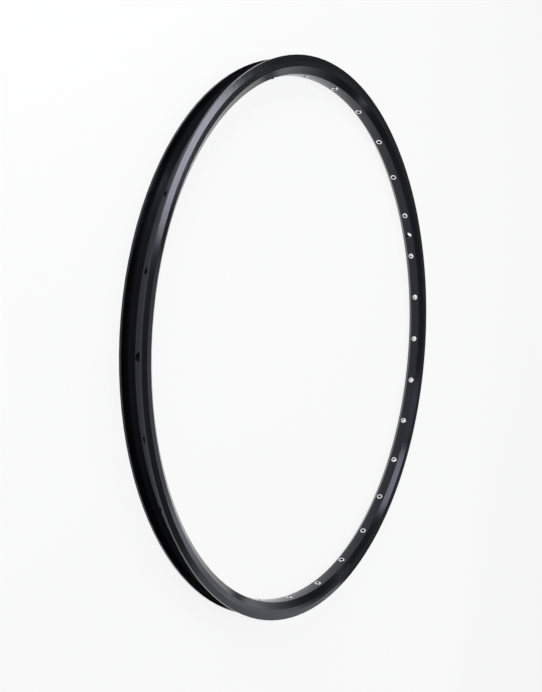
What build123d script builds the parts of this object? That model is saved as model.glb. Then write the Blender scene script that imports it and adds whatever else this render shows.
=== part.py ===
"""Bicycle wheel rim: a double-wall aluminium hoop with a joint sleeve and a pressed eyelet at each spoke hole.

The rim lies flat. Its axle line is +Z through the origin, which is the centre of the rim,
and the valve hole is on the +X side.
"""
from build123d import *
from math import cos, degrees, radians, sin, tan
import os

# Driving sizes of the hoop's section, in millimetres
bead_seat_diameter = 622.0
flange_height = 6.0
outer_width = 25.0
section_depth = 17.8
flange_thickness = 1.5
hook_thickness = 2.3
hook_height = 2.0
hook_slope_height = 1.2
shelf_width = 2.6
drop_depth = 5.0
floor_width = 9.9
floor_hollow = 0.9
shoulder_drop = 4.9
shoulder_inset = 0.5
spoke_bed_width = 12.7
spoke_bed_crown = 0.6
wall = 1.15
spoke_bed_extra = 0.9

# Rounding of the section's corners
tip_radius = 0.7
shoulder_radius = 1.6
bed_edge_radius = 2.0
shelf_corner_radius = 0.6
shelf_lip_radius = 0.9
floor_corner_radius = 1.2
chamber_corner_radius = 0.5

# Drilling
spoke_count = 28
spoke_hole_stagger = 0.55
access_hole_diameter = 8.2
valve_hole_diameter = 8.5
valve_hole_bevel = 0.4

# Eyelets
eyelet_bore = 4.4
eyelet_barrel = 5.5
barrel_clearance = 0.05
lip_diameter = 8.0
lip_thickness = 0.9
lip_rounding = 0.4
lip_seat_depth = 0.35
lip_seat_clearance = 0.1
eyelet_flange_diameter = 7.6
eyelet_flange_thickness = 0.7
nipple_seat_depth = 0.45
nipple_seat_angle = 90.0

# Joint on the side opposite the valve hole
seam_gap = 0.05
sleeve_length = 50.0
sleeve_clearance = 0.08

# Radii and half widths that follow
seat_r = bead_seat_diameter / 2
tip_r = seat_r + flange_height
floor_r = seat_r - drop_depth
floor_edge_r = floor_r + floor_hollow
shoulder_r = seat_r - shoulder_drop
crown_r = tip_r - section_depth
bed_edge_r = crown_r + spoke_bed_crown
chamber_floor_r = bed_edge_r + spoke_bed_extra + wall
lip_seat_r = crown_r + lip_seat_depth
hook_r = tip_r - hook_height
hook_root_r = hook_r - hook_slope_height
half_width = outer_width / 2
half_bed = spoke_bed_width / 2
half_floor = floor_width / 2
half_shoulder = half_width - shoulder_inset
flange_in = half_width - flange_thickness
hook_in = half_width - hook_thickness
shelf_in = flange_in - shelf_width
seam_angle = degrees(seam_gap / tip_r)
sleeve_angle = degrees(sleeve_length / chamber_floor_r)

# Half outlines of the section as (radius, height), from the spoke bed round to the tyre bed
outer_half = [
    (bed_edge_r, half_bed),
    (shoulder_r, half_shoulder),
    (seat_r, half_width),
    (tip_r, half_width),
    (tip_r, hook_in),
    (hook_r, hook_in),
    (hook_root_r, flange_in),
    (seat_r, flange_in),
    (seat_r, shelf_in),
    (floor_edge_r, half_floor),
]
box_half = [
    (bed_edge_r + spoke_bed_extra, half_bed),
    (shoulder_r, half_shoulder),
    (seat_r, half_width),
    (seat_r, shelf_in),
    (floor_r, half_floor),
]


def mirrored(half):
    """The same points on the other half of the section."""
    return [(r, -h) for r, h in half]


def section_plane(angle):
    """Plane through the axle line at an angle, with local x along the radius and local y along +Z."""
    turn = radians(angle)
    return Plane(origin=(0, 0, 0), x_dir=(cos(turn), sin(turn), 0), z_dir=(sin(turn), -cos(turn), 0))


def corners_at(vertices, r, h):
    """The section corners at a radius and half width."""
    reach = (r**2 + h**2) ** 0.5
    return [v for v in vertices if abs(abs(v.Z) - h) < 1e-6 and abs(Vector(v).length - reach) < 1e-6]


def chamber_face(plane, clearance=0.0):
    """The hollow between the walls, made smaller all round by a clearance."""
    with BuildSketch(plane) as chamber:
        with BuildLine():
            Polyline(*box_half, *reversed(mirrored(box_half)), close=True)
        make_face()
        offset(amount=-wall - clearance, kind=Kind.INTERSECTION)
        fillet(chamber.vertices(), chamber_corner_radius)
    return chamber.sketch


def spoke_plane(index):
    """Plane across a spoke hole, at the axle line, with its normal out along the hole."""
    angle = radians((index + 0.5) * 360 / spoke_count)
    side = spoke_hole_stagger if index % 2 == 0 else -spoke_hole_stagger
    return Plane(origin=(0, 0, side), x_dir=(0, 0, 1), z_dir=(cos(angle), sin(angle), 0))


spoke_planes = [spoke_plane(index) for index in range(spoke_count)]

# Hoop, rolled from one hollow section with its ends butted on the -X side
seam_plane = section_plane(180 + seam_angle / 2)
with BuildSketch(seam_plane) as hoop_section:
    with BuildLine():
        Polyline(*outer_half)
        Polyline(*mirrored(outer_half))
        ThreePointArc((bed_edge_r, half_bed), (crown_r, 0), (bed_edge_r, -half_bed))
        ThreePointArc((floor_edge_r, half_floor), (floor_r, 0), (floor_edge_r, -half_floor))
    make_face()
    for (r, h), rounding in (
        ((bed_edge_r, half_bed), bed_edge_radius),
        ((shoulder_r, half_shoulder), shoulder_radius),
        ((tip_r, half_width), tip_radius),
        ((tip_r, hook_in), tip_radius),
        ((seat_r, flange_in), shelf_corner_radius),
        ((seat_r, shelf_in), shelf_lip_radius),
        ((floor_edge_r, half_floor), floor_corner_radius),
    ):
        fillet(corners_at(hoop_section.vertices(), r, h), rounding)
hoop_chamber = chamber_face(seam_plane)

with BuildPart() as rim_hoop:
    revolve(hoop_section.sketch, axis=Axis.Z, revolution_arc=360 - seam_angle)
    revolve(hoop_chamber, axis=Axis.Z, mode=Mode.SUBTRACT)
    lip_seat_diameter = lip_diameter + 2 * lip_seat_clearance
    barrel_hole_diameter = eyelet_barrel + 2 * barrel_clearance
    for diameter, low, high in (
        (lip_seat_diameter, crown_r - lip_thickness, lip_seat_r),
        (barrel_hole_diameter, lip_seat_r - lip_seat_depth, chamber_floor_r + barrel_clearance),
        (access_hole_diameter, chamber_floor_r + wall, seat_r),
    ):
        with Locations(*[plane.offset(low) for plane in spoke_planes]):
            Cylinder(diameter / 2, high - low, align=(Align.CENTER, Align.CENTER, Align.MIN), mode=Mode.SUBTRACT)
    with Locations(Plane(origin=(crown_r, 0, 0), x_dir=(0, 0, 1), z_dir=(-1, 0, 0))):
        bevelled_r = valve_hole_diameter / 2 + valve_hole_bevel
        CounterSinkHole(valve_hole_diameter / 2, bevelled_r, depth=section_depth, counter_sink_angle=90)

rim_hoop.part.label = "rim_hoop"

# Sleeve pressed into both butted ends, inside the hollow
sleeve_section = chamber_face(section_plane(180 - sleeve_angle / 2), sleeve_clearance)
with BuildPart() as joint_sleeve:
    revolve(sleeve_section, axis=Axis.Z, revolution_arc=sleeve_angle)

joint_sleeve.part.label = "joint_sleeve"

os.makedirs("parts", exist_ok=True)
export_step(rim_hoop.part, "parts/rim_hoop.step")
export_step(joint_sleeve.part, "parts/joint_sleeve.step")

# Eyelets, each with a rolled lip on the spoke bed and a nipple seat inside the hollow
flange_top_r = chamber_floor_r + eyelet_flange_thickness
lip_low_r = lip_seat_r - lip_thickness
bore_r = eyelet_bore / 2
seat_mouth_r = bore_r + nipple_seat_depth * tan(radians(nipple_seat_angle / 2))
for index, plane in enumerate(spoke_planes):
    axis = Axis(plane.origin, plane.z_dir)
    with BuildPart() as eyelet:
        with BuildSketch(Plane(origin=plane.origin, x_dir=plane.x_dir, z_dir=-plane.y_dir)) as profile:
            with BuildLine():
                Polyline(
                    (bore_r, lip_low_r),
                    (lip_diameter / 2, lip_low_r),
                    (lip_diameter / 2, lip_seat_r),
                    (eyelet_barrel / 2, lip_seat_r),
                    (eyelet_barrel / 2, chamber_floor_r),
                    (eyelet_flange_diameter / 2, chamber_floor_r),
                    (eyelet_flange_diameter / 2, flange_top_r),
                    (seat_mouth_r, flange_top_r),
                    (bore_r, flange_top_r - nipple_seat_depth),
                    close=True,
                )
            make_face()
        revolve(axis=axis)
        fillet(eyelet.edges().filter_by(GeomType.CIRCLE).sort_by(axis)[:2], lip_rounding)
    eyelet.part.label = f"eyelet_{index + 1:02d}"
    export_step(eyelet.part, f"parts/{eyelet.part.label}.step")
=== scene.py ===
"""Bicycle rim lying on a pale studio floor, with its finishes, soft light and the photograph's camera."""
from math import pi, radians

import bpy
from mathutils import Matrix, Vector


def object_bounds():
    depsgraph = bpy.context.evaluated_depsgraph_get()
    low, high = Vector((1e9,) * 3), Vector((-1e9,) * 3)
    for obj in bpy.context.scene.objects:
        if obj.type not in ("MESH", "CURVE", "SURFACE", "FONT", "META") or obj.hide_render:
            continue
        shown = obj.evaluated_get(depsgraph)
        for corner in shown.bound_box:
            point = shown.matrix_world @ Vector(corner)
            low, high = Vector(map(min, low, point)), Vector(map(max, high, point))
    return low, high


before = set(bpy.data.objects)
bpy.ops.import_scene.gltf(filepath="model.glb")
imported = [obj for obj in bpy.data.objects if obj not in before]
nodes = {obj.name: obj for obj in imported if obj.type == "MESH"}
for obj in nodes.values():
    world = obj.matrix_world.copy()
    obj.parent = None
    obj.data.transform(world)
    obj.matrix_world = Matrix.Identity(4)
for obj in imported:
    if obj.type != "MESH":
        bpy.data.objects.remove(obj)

cad_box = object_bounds()
scene = bpy.context.scene
floor_height = cad_box[0].z

# Turn of the photograph's right-hand direction from the rim's own X, in degrees
PHOTO_TURN = -35.583

# Lengths of the part, in metres, with the radius at the middle of the section rounded
HOOP_RADIUS = 0.31
BED_RADIUS = 0.2992
BORE_RADIUS = 0.0022
HOLE_STAGGER = 0.00055

# Count of spoke holes, and the angle from one to the next in radians
SPOKES = 28
HOLE_STEP = 2 * pi / SPOKES


def in_photo(x, y, z):
    """A place given along the photograph's right, the photograph's up and the rim's axle, in metres."""
    return Matrix.Rotation(radians(PHOTO_TURN), 3, "Z") @ Vector((x, y, z))


# Node helpers
def empty_nodes(owner, output_type):
    """Leaves only an output among the owner's nodes; gives the tree and the output's surface."""
    owner.use_nodes = True
    tree = owner.node_tree
    tree.nodes.clear()
    return tree, tree.nodes.new(output_type).inputs["Surface"]


def new_material(name):
    """A material with only a Principled shader; gives the material, its tree and the shader."""
    material = bpy.data.materials.new(name)
    tree, surface = empty_nodes(material, "ShaderNodeOutputMaterial")
    shader = tree.nodes.new("ShaderNodeBsdfPrincipled")
    tree.links.new(shader.outputs["BSDF"], surface)
    return material, tree, shader


def object_place(tree):
    """Where the shaded point is on the part, in metres from the rim's centre."""
    return tree.nodes.new("ShaderNodeTexCoord").outputs["Object"]


def split_axes(tree, vector):
    """The x, y and z of a vector."""
    node = tree.nodes.new("ShaderNodeSeparateXYZ")
    tree.links.new(vector, node.inputs[0])
    return node.outputs


def math_node(tree, operation, *values):
    """A Math node whose inputs are numbers or sockets; gives its output."""
    node = tree.nodes.new("ShaderNodeMath")
    node.operation = operation
    for socket, value in zip(node.inputs, values):
        if isinstance(value, (int, float)):
            socket.default_value = value
        else:
            tree.links.new(value, socket)
    return node.outputs[0]


def diagonal(tree, first, second):
    """Length of the diagonal over two lengths at right angles."""
    squares = [math_node(tree, "MULTIPLY", length, length) for length in (first, second)]
    return math_node(tree, "SQRT", math_node(tree, "ADD", *squares))


def scaled(tree, value, low, high, start=0.0, end=1.0):
    """The value that goes from low to high while the given one goes from start to end."""
    node = tree.nodes.new("ShaderNodeMapRange")
    for name, level in (("From Min", start), ("From Max", end), ("To Min", low), ("To Max", high)):
        node.inputs[name].default_value = level
    tree.links.new(value, node.inputs["Value"])
    return node.outputs["Result"]


def noise(tree, vector, scale, detail=2.0):
    """Noise in space, from 0 to 1."""
    node = tree.nodes.new("ShaderNodeTexNoise")
    node.inputs["Scale"].default_value = scale
    node.inputs["Detail"].default_value = detail
    tree.links.new(vector, node.inputs["Vector"])
    return node.outputs["Fac"]


def mixed_colour(tree, factor, first, second):
    """Colour that goes from the first to the second with the factor; each is a tuple or a socket."""
    node = tree.nodes.new("ShaderNodeMix")
    node.data_type = "RGBA"
    for name, colour in (("A", first), ("B", second)):
        if isinstance(colour, tuple):
            node.inputs[name].default_value = (*colour, 1.0)
        else:
            tree.links.new(colour, node.inputs[name])
    tree.links.new(factor, node.inputs["Factor"])
    return node.outputs["Result"]


def bump(tree, height, distance, strength, below=None):
    """Bump from a height, on top of another bump; gives the normal."""
    node = tree.nodes.new("ShaderNodeBump")
    node.inputs["Strength"].default_value = strength
    node.inputs["Distance"].default_value = distance
    tree.links.new(height, node.inputs["Height"])
    if below is not None:
        tree.links.new(below, node.inputs["Normal"])
    return node.outputs["Normal"]


def along_hoop(tree, place, stretch):
    """Coordinates over the section and round the hoop, which draw a pattern out round it by a factor."""
    x, y, z = split_axes(tree, place)
    turn = math_node(tree, "ARCTAN2", y, x)
    joined = tree.nodes.new("ShaderNodeCombineXYZ")
    tree.links.new(diagonal(tree, x, y), joined.inputs["X"])
    tree.links.new(z, joined.inputs["Y"])
    tree.links.new(math_node(tree, "MULTIPLY", turn, HOOP_RADIUS / stretch), joined.inputs["Z"])
    return joined.outputs[0]


def from_hole_axis(tree, place):
    """Distance from the axis of the nearest spoke hole, in metres."""
    x, y, z = split_axes(tree, place)
    steps = math_node(tree, "DIVIDE", math_node(tree, "ARCTAN2", y, x), HOLE_STEP)
    # One whole turn more, so that no point counts below zero
    steps = math_node(tree, "ADD", steps, SPOKES)
    from_middle = math_node(tree, "SUBTRACT", math_node(tree, "FRACT", steps), 0.5)
    around = math_node(tree, "MULTIPLY", from_middle, HOLE_STEP * BED_RADIUS)
    odd = math_node(tree, "MODULO", math_node(tree, "FLOOR", steps), 2)
    hole_height = math_node(tree, "MULTIPLY_ADD", odd, -2 * HOLE_STAGGER, HOLE_STAGGER)
    return diagonal(tree, around, math_node(tree, "SUBTRACT", z, hole_height))


# Finishes, with colours in linear light, noise scales per metre and bump distances in metres
DYE_DARK = (0.0042, 0.0043, 0.0056)
DYE_LIGHT = (0.0066, 0.0067, 0.0086)
ROUGHNESS_FROM_DYE = 0.6
OXIDE_IOR = 1.44
OXIDE_TINT = (0.79, 0.81, 1.0, 1.0)
MILL_DARK = (0.52, 0.53, 0.54)
MILL_LIGHT = (0.66, 0.66, 0.67)
PLATE_DARK = (0.74, 0.74, 0.73)
PLATE_LIGHT = (0.9, 0.9, 0.89)
# Painted shade: the dark colour put in the eyelets' bores, where shade falls
BORE_SHADE_COLOUR = (0.03, 0.03, 0.032)

# Painted shade fills an eyelet's bore out to the first radius and stops at the second, in metres
BORE_SHADE_RADIUS = BORE_RADIUS + 0.00008
BORE_SHADE_END_RADIUS = BORE_RADIUS + 0.0003


def black_anodised():
    """Black anodised extrusion: fine drawn lines round the hoop, an etched grain and uneven dye."""
    material, tree, shader = new_material("black_anodised_aluminium")
    place = object_place(tree)
    lines = noise(tree, along_hoop(tree, place, stretch=60.0), scale=2600.0, detail=3.0)
    grain = noise(tree, place, scale=5200.0)
    dye = noise(tree, place, scale=38.0, detail=3.0)
    tree.links.new(mixed_colour(tree, dye, DYE_DARK, DYE_LIGHT), shader.inputs["Base Color"])
    line_part = math_node(tree, "MULTIPLY", lines, 1 - ROUGHNESS_FROM_DYE)
    uneven = math_node(tree, "MULTIPLY_ADD", dye, ROUGHNESS_FROM_DYE, line_part)
    tree.links.new(scaled(tree, uneven, low=0.1, high=0.15), shader.inputs["Roughness"])
    shader.inputs["IOR"].default_value = OXIDE_IOR
    shader.inputs["Specular Tint"].default_value = OXIDE_TINT
    etched = bump(tree, grain, distance=0.000012, strength=0.35)
    drawn = bump(tree, lines, distance=0.00002, strength=0.4, below=etched)
    tree.links.new(drawn, shader.inputs["Normal"])
    return material


def bare_aluminium():
    """Mill-finish aluminium, as inside the hoop where the sleeve sits."""
    material, tree, shader = new_material("mill_aluminium")
    place = object_place(tree)
    lines = noise(tree, along_hoop(tree, place, stretch=40.0), scale=1900.0, detail=3.0)
    patches = noise(tree, place, scale=60.0)
    tree.links.new(mixed_colour(tree, patches, MILL_DARK, MILL_LIGHT), shader.inputs["Base Color"])
    shader.inputs["Metallic"].default_value = 1.0
    tree.links.new(scaled(tree, lines, low=0.32, high=0.5), shader.inputs["Roughness"])
    tree.links.new(bump(tree, lines, distance=0.00003, strength=0.4), shader.inputs["Normal"])
    return material


def plated_metal():
    """Eyelet with bright plating: reflective, with faint polishing marks and painted shade darkening its
    bore.
    """
    material, tree, shader = new_material("bright_plated_eyelet")
    place = object_place(tree)
    marks = noise(tree, place, scale=3200.0, detail=3.0)
    spots = noise(tree, place, scale=420.0)
    skin = mixed_colour(tree, spots, PLATE_DARK, PLATE_LIGHT)
    from_axis = from_hole_axis(tree, place)
    # Painted shade: dark in the bore, the plating's own colour from the bore's edge outwards
    unshaded = scaled(tree, from_axis, low=0.0, high=1.0, start=BORE_SHADE_RADIUS, end=BORE_SHADE_END_RADIUS)
    tree.links.new(mixed_colour(tree, unshaded, BORE_SHADE_COLOUR, skin), shader.inputs["Base Color"])
    shader.inputs["Metallic"].default_value = 1.0
    tree.links.new(scaled(tree, spots, low=0.14, high=0.3), shader.inputs["Roughness"])
    tree.links.new(bump(tree, marks, distance=0.00001, strength=0.25), shader.inputs["Normal"])
    return material


def dress(node, material):
    """Puts a finish on a CAD node."""
    mesh = nodes[node].data
    mesh.materials.clear()
    mesh.materials.append(material)


dress("rim_hoop", black_anodised())
dress("joint_sleeve", bare_aluminium())
eyelet_finish = plated_metal()
for name in nodes:
    if name.startswith("eyelet"):
        dress(name, eyelet_finish)


# Floor, with half its side in metres and the share of plain white that is seen of it
FLOOR_HALF_SIZE = 9.0
FLOOR_COLOUR = (0.93, 0.93, 0.94, 1.0)
BACKGROUND_SHARE = 0.88


def floor_material():
    """White floor. The camera and reflections see it mostly plain white, and partly with its shadow."""
    material = bpy.data.materials.new("studio_floor")
    tree, surface = empty_nodes(material, "ShaderNodeOutputMaterial")
    diffuse = tree.nodes.new("ShaderNodeBsdfDiffuse")
    diffuse.inputs["Color"].default_value = FLOOR_COLOUR
    white = tree.nodes.new("ShaderNodeEmission")
    white.inputs["Strength"].default_value = 1.0
    rays = tree.nodes.new("ShaderNodeLightPath").outputs
    seen = math_node(tree, "MAXIMUM", rays["Is Camera Ray"], rays["Is Glossy Ray"])
    mix = tree.nodes.new("ShaderNodeMixShader")
    tree.links.new(math_node(tree, "MULTIPLY", seen, BACKGROUND_SHARE), mix.inputs["Fac"])
    tree.links.new(diffuse.outputs[0], mix.inputs[1])
    tree.links.new(white.outputs[0], mix.inputs[2])
    tree.links.new(mix.outputs[0], surface)
    return material


half = FLOOR_HALF_SIZE
corners = [(x * half, y * half, floor_height) for x, y in ((-1, -1), (1, -1), (1, 1), (-1, 1))]
floor_mesh = bpy.data.meshes.new("studio_floor")
floor_mesh.from_pydata(corners, [], [(0, 1, 2, 3)])
floor_mesh.materials.append(floor_material())
floor = bpy.data.objects.new("studio_floor", floor_mesh)
scene.collection.objects.link(floor)


# Light, with each wall colour beside the sine of its angle above the horizon
WALL_COLOURS = (
    (0.08, (0.95, 0.97, 1.0)),
    (0.27, (0.288, 0.294, 0.312)),
    (0.36, (0.09, 0.092, 0.098)),
    (0.62, (0.1152, 0.1176, 0.1248)),
    (0.82, (0.288, 0.294, 0.312)),
)
SOFTBOX_TINT = (0.955, 0.965, 1.0)

# The walls' level on the left, and how far to the right, from -1 to 1, they are that dim or at full level
DIM_LEVEL = 0.3
DIM_SIDE = -0.7
FULL_SIDE = 0.2


def studio_world():
    """A studio's walls: pale near the horizon, darker higher up and on the photograph's left."""
    world = bpy.data.worlds.new("studio")
    tree, surface = empty_nodes(world, "ShaderNodeOutputWorld")
    back = tree.nodes.new("ShaderNodeBackground")
    look = tree.nodes.new("ShaderNodeTexCoord").outputs["Generated"]
    ramp = tree.nodes.new("ShaderNodeValToRGB")
    stops = ramp.color_ramp.elements
    for sine, colour in WALL_COLOURS:
        stops.new(sine).color = (*colour, 1.0)
    # The two stops that a new ramp has lie outside the others
    stops.remove(stops[0])
    stops.remove(stops[-1])
    upward = split_axes(tree, look)[2]
    tree.links.new(upward, ramp.inputs["Fac"])
    side = tree.nodes.new("ShaderNodeVectorMath")
    side.operation = "DOT_PRODUCT"
    side.inputs[1].default_value = in_photo(1.0, 0.0, 0.0)
    tree.links.new(look, side.inputs[0])
    level = scaled(tree, side.outputs["Value"], low=DIM_LEVEL, high=1.0, start=DIM_SIDE, end=FULL_SIDE)
    tree.links.new(ramp.outputs["Color"], back.inputs["Color"])
    tree.links.new(level, back.inputs["Strength"])
    tree.links.new(back.outputs[0], surface)
    return world


def softbox(name, place, size, radiance, aim=(0.0, 0.0, 0.0)):
    """Rectangular softbox turned to the aim, as bright all over as the radiance says."""
    width, height = size
    light = bpy.data.lights.new(name, "AREA")
    light.shape = "RECTANGLE"
    light.size = width
    light.size_y = height
    light.energy = radiance * pi * width * height
    light.color = SOFTBOX_TINT
    lamp = bpy.data.objects.new(name, light)
    lamp.location = in_photo(*place)
    lamp.rotation_euler = (in_photo(*aim) - lamp.location).to_track_quat("-Z", "Y").to_euler()
    scene.collection.objects.link(lamp)


scene.world = studio_world()
lower_rim = (-0.1, -0.28, 0.0)
softbox("key_right", (3.0, 1.3, 2.86), size=(1.05, 0.8), radiance=8.0, aim=(-0.27, 0.16, 0.0))
softbox("band_right", (2.0, -0.3, 1.4), size=(1.3, 0.27), radiance=1.3, aim=(-0.31, 0.0, 0.0))
softbox("side_right", (0.66, -0.73, 0.5), size=(0.32, 0.46), radiance=0.95, aim=lower_rim)
softbox("side_right_top", (0.7, -0.49, 0.6), size=(0.2, 0.18), radiance=1.1, aim=lower_rim)
softbox("top_rear", (0.38, 0.6, 1.3), size=(0.3, 0.42), radiance=5.0)
softbox("top_left", (0.03, 0.28, 1.3), size=(0.25, 0.3), radiance=1.0)
softbox("overhead", (0.35, 0.0, 2.4), size=(0.8, 0.8), radiance=4.0)
softbox("edge_left", (-0.8, 0.64, 0.3), size=(0.48, 0.55), radiance=9.0)


# Camera, with the photograph's long side in pixels, the sensor's in millimetres and places in metres
IMAGE_LONG_SIDE = 692
SENSOR_LONG_SIDE = 36.0
CAMERA_PLACE = Vector((-0.53618, 0.38542, 0.35909))
CAMERA_RIGHT = Vector((0.47015, -0.26167, 0.84290))
CAMERA_UP = Vector((0.58038, 0.81117, -0.07190))
FOCAL_LENGTH_PX = 619.11
FRAME_SHIFT_PX = (-12.98, 18.89)
NEAREST_SEEN = 0.01

lens = bpy.data.cameras.new("photo_camera")
lens.sensor_width = SENSOR_LONG_SIDE
lens.lens = FOCAL_LENGTH_PX / IMAGE_LONG_SIDE * SENSOR_LONG_SIDE
lens.clip_start = NEAREST_SEEN
lens.shift_x = FRAME_SHIFT_PX[0] / IMAGE_LONG_SIDE
lens.shift_y = FRAME_SHIFT_PX[1] / IMAGE_LONG_SIDE
camera = bpy.data.objects.new("photo_camera", lens)
camera_back = CAMERA_RIGHT.cross(CAMERA_UP).normalized()
turned = Matrix((CAMERA_RIGHT, CAMERA_UP, camera_back)).transposed().to_4x4()
camera.matrix_world = Matrix.Translation(CAMERA_PLACE) @ turned
scene.collection.objects.link(camera)
scene.camera = camera

scene.view_settings.view_transform = "Standard"
